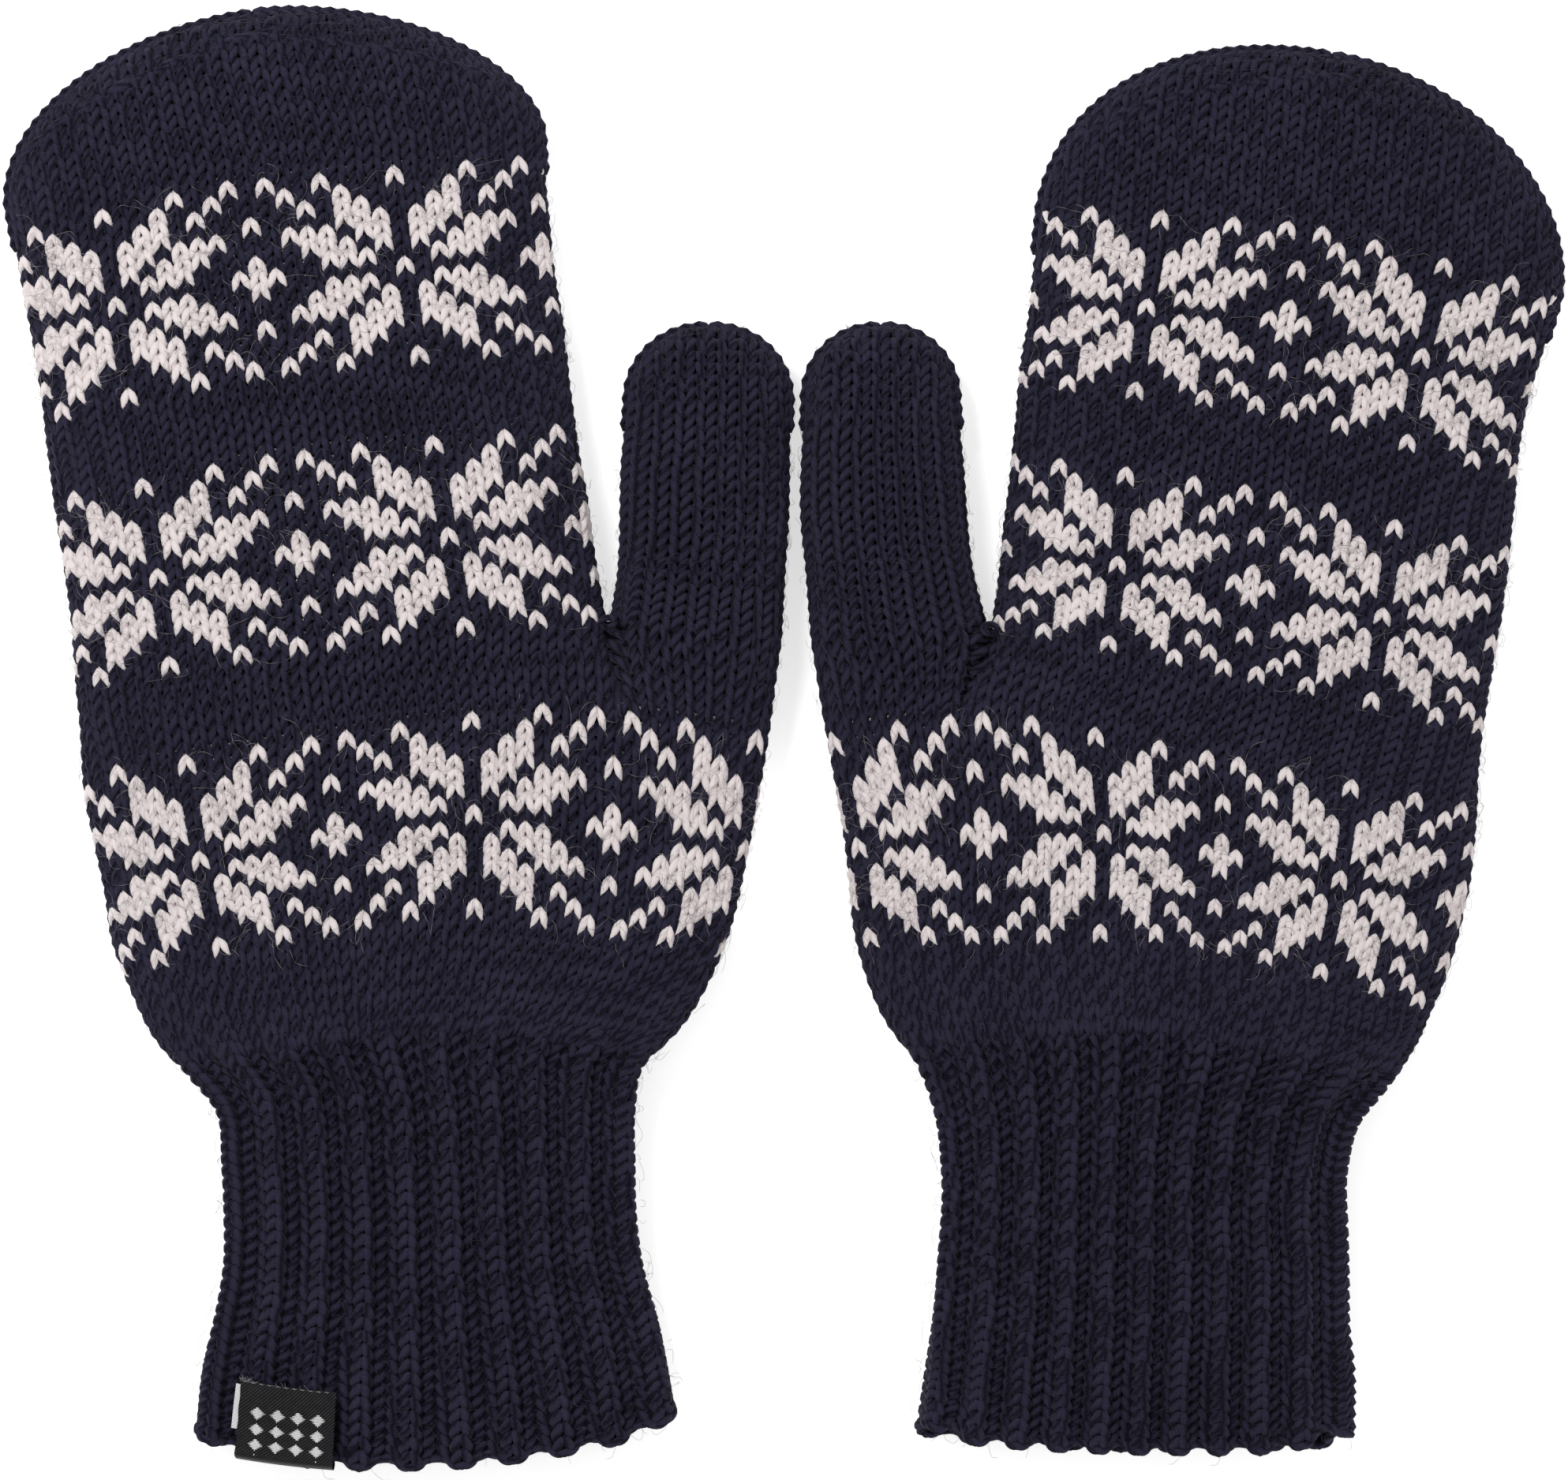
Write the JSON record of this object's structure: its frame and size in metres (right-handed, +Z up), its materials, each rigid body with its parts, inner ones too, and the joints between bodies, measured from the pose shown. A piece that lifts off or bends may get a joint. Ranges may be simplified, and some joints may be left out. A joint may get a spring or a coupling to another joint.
{
  "type": "knitted mittens",
  "caption": "Pair of hand-knitted wool mittens lying palm down, with ribbed cuffs, thumb gussets, folding thumbs and fingertips, and pale eight-pointed stars on dark wool.",
  "frame": {"origin": "on the table, under the middle of the pair's box", "axes": "+X from the left mitten to the right one, +Y from the cuffs towards the fingertips, +Z up, out of the backs of the hands"},
  "size_m": [0.2872, 0.2688, 0.0185],
  "materials": {
    "navy_wool": "matte knitted wool",
    "pale_wool": "matte knitted wool",
    "black_satin": "woven satin",
    "silver_thread": "woven thread"
  },
  "bodies": {
    "left_mitten": {"left_palm": "navy_wool", "left_hand": "navy_wool", "left_star_band_lower": "pale_wool", "left_star_band_middle": "pale_wool", "left_thumb_join_yarn": "navy_wool"},
    "left_cuff_part": {"left_cuff": "navy_wool", "left_woven_label": "black_satin", "left_label_stitching": "silver_thread"},
    "left_fingers_part": {"left_fingers": "navy_wool", "left_star_band_upper": "pale_wool", "left_tip_closing_yarn": "navy_wool"},
    "left_thumb_part": {"left_thumb": "navy_wool", "left_thumb_closing_yarn": "navy_wool"},
    "right_mitten": {"right_palm": "navy_wool", "right_hand": "navy_wool", "right_star_band_lower": "pale_wool", "right_star_band_middle": "pale_wool", "right_thumb_join_yarn": "navy_wool"},
    "right_cuff_part": {"right_cuff": "navy_wool"},
    "right_fingers_part": {"right_fingers": "navy_wool", "right_star_band_upper": "pale_wool", "right_tip_closing_yarn": "navy_wool"},
    "right_thumb_part": {"right_thumb": "navy_wool", "right_thumb_closing_yarn": "navy_wool"}
  },
  "joints": [
    {"name": "left_wrist_fold", "type": "hinge", "parent": "left_mitten", "child": "left_cuff_part", "pos_m": [-0.06565, -0.06765, 0.0085], "axis": [-0.9993, -0.0377, 0], "range_deg": [0, 45]},
    {"name": "left_knuckle_fold", "type": "hinge", "parent": "left_mitten", "child": "left_fingers_part", "pos_m": [-0.0871, 0.06015, 0.009], "axis": [0.9898, 0.1421, 0], "range_deg": [0, 60]},
    {"name": "left_thumb_fold", "type": "hinge", "parent": "left_mitten", "child": "left_thumb_part", "pos_m": [-0.0146, 0.02066, 0.009], "axis": [1, 0.0091, 0], "range_deg": [0, 40]},
    {"name": "right_wrist_fold", "type": "hinge", "parent": "right_mitten", "child": "right_cuff_part", "pos_m": [0.06655, -0.07015, 0.0085], "axis": [-0.9996, 0.0269, 0], "range_deg": [0, 45]},
    {"name": "right_knuckle_fold", "type": "hinge", "parent": "right_mitten", "child": "right_fingers_part", "pos_m": [0.08855, 0.0524, 0.009], "axis": [0.9825, -0.1861, 0], "range_deg": [0, 60]},
    {"name": "right_thumb_fold", "type": "hinge", "parent": "right_mitten", "child": "right_thumb_part", "pos_m": [0.01993, 0.02062, 0.009], "axis": [0.9999, -0.011, 0], "range_deg": [0, 40]},
    {"name": "pair_apart", "type": "slide", "parent": "left_mitten", "child": "right_mitten", "axis": [1, 0, 0], "range_m": [0, 0.12]}
  ]
}
